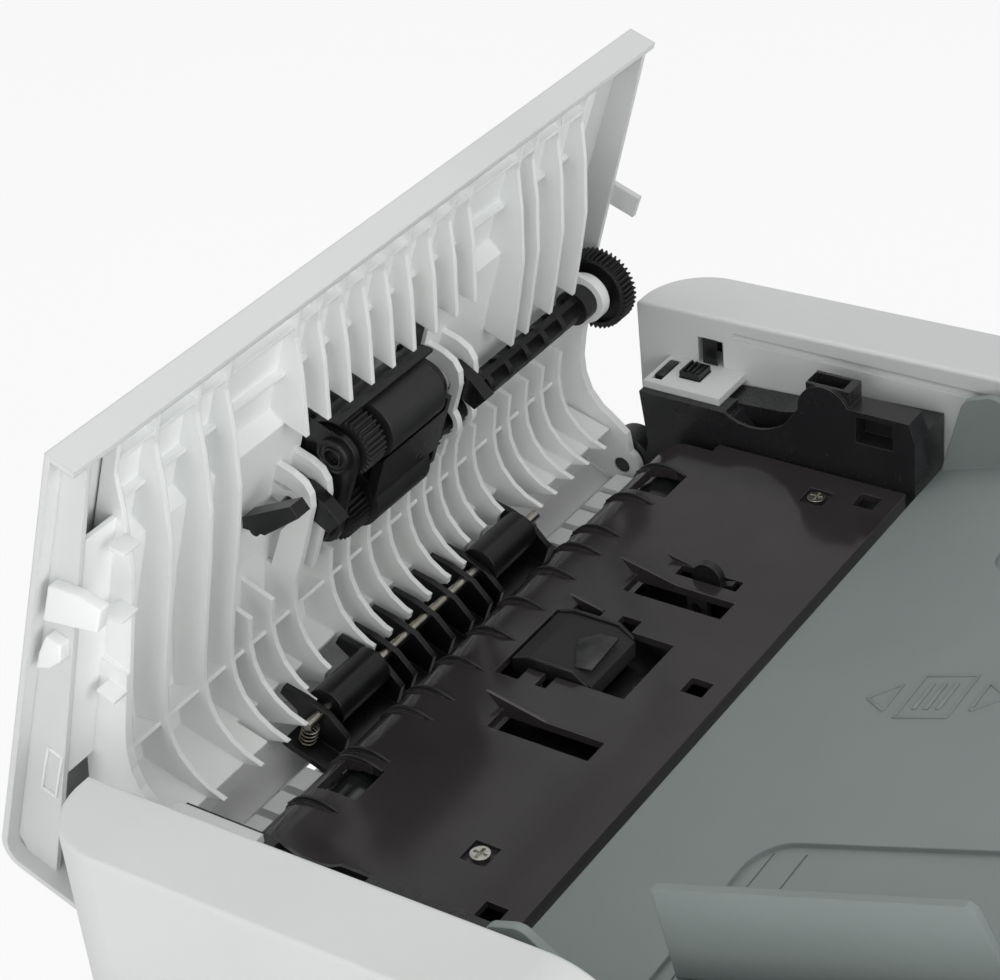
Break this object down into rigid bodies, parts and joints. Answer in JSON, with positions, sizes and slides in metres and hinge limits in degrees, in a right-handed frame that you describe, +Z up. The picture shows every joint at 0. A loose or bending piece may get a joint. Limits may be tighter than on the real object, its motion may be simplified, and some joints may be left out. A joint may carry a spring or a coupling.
{
  "type": "color laser multifunction printer with document feeder",
  "caption": "Color laser multifunction printer with its document feeder open: white ribbed jam cover, black pick rollers and paper deck, grey input tray",
  "frame": {"origin": "on the table, under the centre of the machine body, at the middle foot", "axes": "X to the right along the front, Y from the front to the rear, Z up"},
  "size_m": [0.449, 0.383, 0.4286],
  "materials": {
    "body_plastic": "fine-grained light grey moulded plastic",
    "guide_plastic": "white moulded plastic of the paper guides",
    "black_plastic": "black moulded plastic",
    "deck_plastic": "black satin plastic of the paper deck",
    "tray_plastic": "grey-green moulded plastic of the input tray",
    "roller_rubber": "dark roller rubber",
    "shaft_steel": "bright steel shaft",
    "inner_steel": "plain sheet steel",
    "scan_glass": "clear scanner glass",
    "display_glass": "dark display window",
    "pad_foam": "white pressing pad",
    "key_plastic": "grey keys",
    "inlet_plastic": "black appliance inlet",
    "foot_rubber": "grey-black rubber"
  },
  "bodies": {
    "machine": {"base_pan": "black_plastic", "feet": "foot_rubber", "left_cover": "body_plastic", "right_cover": "body_plastic", "rear_cover": "body_plastic", "power_inlet": "inlet_plastic", "bin_cover": "body_plastic", "engine_frame": "inner_steel", "toner_cartridges": "black_plastic", "belt_unit": "roller_rubber", "fuser_unit": "black_plastic", "scanner_base": "body_plastic", "scan_glass": "scan_glass", "control_panel": "body_plastic", "display_window": "display_glass"},
    "tray_body": {"paper_tray": "body_plastic"},
    "front_door_body": {"front_door": "body_plastic"},
    "rear_door_body": {"rear_door": "body_plastic"},
    "stop_flap": {"output_stop": "body_plastic"},
    "pickup_body": {"pickup_roller": "roller_rubber"},
    "carriage_body": {"scan_carriage": "black_plastic"},
    "lid": {"feeder_housing": "body_plastic", "lid_pad": "pad_foam", "paper_deck": "deck_plastic", "deck_screws": "shaft_steel", "separation_pad": "roller_rubber", "turn_guide": "guide_plastic", "side_frame_front": "black_plastic", "side_frame_rear": "black_plastic", "input_tray": "tray_plastic"},
    "jam_cover": {"cover_shell": "body_plastic", "guide_ribs": "guide_plastic", "idler_holder": "black_plastic", "idler_springs": "shaft_steel"},
    "shaft_body": {"drive_shaft": "black_plastic", "drive_gear": "black_plastic", "feed_roller": "roller_rubber"},
    "pick_arm": {"pick_housing": "black_plastic"},
    "pick_body": {"pick_roller": "roller_rubber"},
    "stop_body": {"stop_lever": "black_plastic"},
    "idler_body": {"idler_shaft": "shaft_steel", "idler_rollers": "roller_rubber"},
    "drive_body": {"drive_roller": "roller_rubber"},
    "flag_body": {"paper_flag": "black_plastic"},
    "latch_body": {"latch_button": "black_plastic"},
    "front_guide_body": {"front_guide": "tray_plastic"},
    "rear_guide_body": {"rear_guide": "tray_plastic"},
    "back_key_body": {"back_key": "key_plastic"},
    "ok_key_body": {"ok_key": "key_plastic"},
    "cancel_key_body": {"cancel_key": "key_plastic"},
    "start_key_body": {"start_key": "key_plastic"},
    "power_key_body": {"power_button": "key_plastic"}
  },
  "joints": [
    {"name": "jam_cover_hinge", "type": "hinge", "parent": "lid", "child": "jam_cover", "pos_m": [-0.193, 0.02, 0.2935], "axis": [0, 1, 0], "range_deg": [0, 69]},
    {"name": "feed_shaft_spin", "type": "hinge", "parent": "jam_cover", "child": "shaft_body", "pos_m": [-0.20225, 0.02, 0.34921], "axis": [0, 1, 0], "continuous": true},
    {"name": "pick_arm_swing", "type": "hinge", "parent": "jam_cover", "child": "pick_arm", "pos_m": [-0.20225, 0.02, 0.34921], "axis": [0, 1, 0], "range_deg": [-4, 1.5]},
    {"name": "pick_roller_spin", "type": "hinge", "parent": "pick_arm", "child": "pick_body", "pos_m": [-0.19347, 0.02, 0.37209], "axis": [0, 1, 0], "continuous": true},
    {"name": "stop_lever_swing", "type": "hinge", "parent": "jam_cover", "child": "stop_body", "pos_m": [-0.20106, 0.02, 0.36236], "axis": [0, 1, 0], "range_deg": [-6, 10]},
    {"name": "idler_spin", "type": "hinge", "parent": "jam_cover", "child": "idler_body", "pos_m": [-0.19204, 0.02, 0.30492], "axis": [0, 1, 0], "continuous": true},
    {"name": "drive_roller_spin", "type": "hinge", "parent": "lid", "child": "drive_body", "pos_m": [-0.1663, 0.02, 0.2967], "axis": [0, 1, 0], "continuous": true},
    {"name": "paper_flag_swing", "type": "hinge", "parent": "lid", "child": "flag_body", "pos_m": [-0.1276, 0.02, 0.3044], "axis": [0, 1, 0], "range_deg": [0, 16], "stiffness_Nm_per_rad": 0.01},
    {"name": "latch_button_press", "type": "slide", "parent": "lid", "child": "latch_body", "axis": [0, 0, -1], "range_m": [0, 0.0016], "stiffness_N_per_m": 300},
    {"name": "front_guide_slide", "type": "slide", "parent": "lid", "child": "front_guide_body", "axis": [0, 1, 0], "range_m": [0, 0.038]},
    {"name": "rear_guide_slide", "type": "slide", "parent": "lid", "child": "rear_guide_body", "axis": [0, 1, 0], "range_m": [-0.038, 0]},
    {"name": "lid_hinge", "type": "hinge", "parent": "machine", "child": "lid", "pos_m": [0, 0.183, 0.2756], "axis": [-1, 0, 0], "range_deg": [0, 70]},
    {"name": "carriage_slide", "type": "slide", "parent": "machine", "child": "carriage_body", "axis": [1, 0, 0], "range_m": [0, 0.29]},
    {"name": "front_door_hinge", "type": "hinge", "parent": "machine", "child": "front_door_body", "pos_m": [0, -0.188, 0.0634], "axis": [1, 0, 0], "range_deg": [0, 85]},
    {"name": "rear_door_hinge", "type": "hinge", "parent": "machine", "child": "rear_door_body", "pos_m": [0, 0.1884, 0.0636], "axis": [-1, 0, 0], "range_deg": [0, 80]},
    {"name": "paper_tray_slide", "type": "slide", "parent": "machine", "child": "tray_body", "axis": [0, -1, 0], "range_m": [0, 0.23]},
    {"name": "output_stop_hinge", "type": "hinge", "parent": "machine", "child": "stop_flap", "pos_m": [0, -0.1733, 0.18344], "axis": [1, 0, 0], "range_deg": [0, 60]},
    {"name": "pickup_spin", "type": "hinge", "parent": "machine", "child": "pickup_body", "pos_m": [0, 0.1, 0.078], "axis": [1, 0, 0], "continuous": true},
    {"name": "back_key_press", "type": "slide", "parent": "machine", "child": "back_key_body", "axis": [0, 0.9181, -0.3963], "range_m": [0, 0.0008], "stiffness_N_per_m": 300},
    {"name": "ok_key_press", "type": "slide", "parent": "machine", "child": "ok_key_body", "axis": [0, 0.9181, -0.3963], "range_m": [0, 0.0008], "stiffness_N_per_m": 300},
    {"name": "cancel_key_press", "type": "slide", "parent": "machine", "child": "cancel_key_body", "axis": [0, 0.9181, -0.3963], "range_m": [0, 0.0008], "stiffness_N_per_m": 300},
    {"name": "start_key_press", "type": "slide", "parent": "machine", "child": "start_key_body", "axis": [0, 0.9181, -0.3963], "range_m": [0, 0.0008], "stiffness_N_per_m": 300},
    {"name": "power_button_press", "type": "slide", "parent": "machine", "child": "power_key_body", "axis": [0, 0.9181, -0.3963], "range_m": [0, 0.0008], "stiffness_N_per_m": 300}
  ],
  "couplings": [
    {"joint": "pick_roller_spin", "follows": "feed_shaft_spin", "ratio": 1},
    {"joint": "rear_guide_slide", "follows": "front_guide_slide", "ratio": -1}
  ]
}
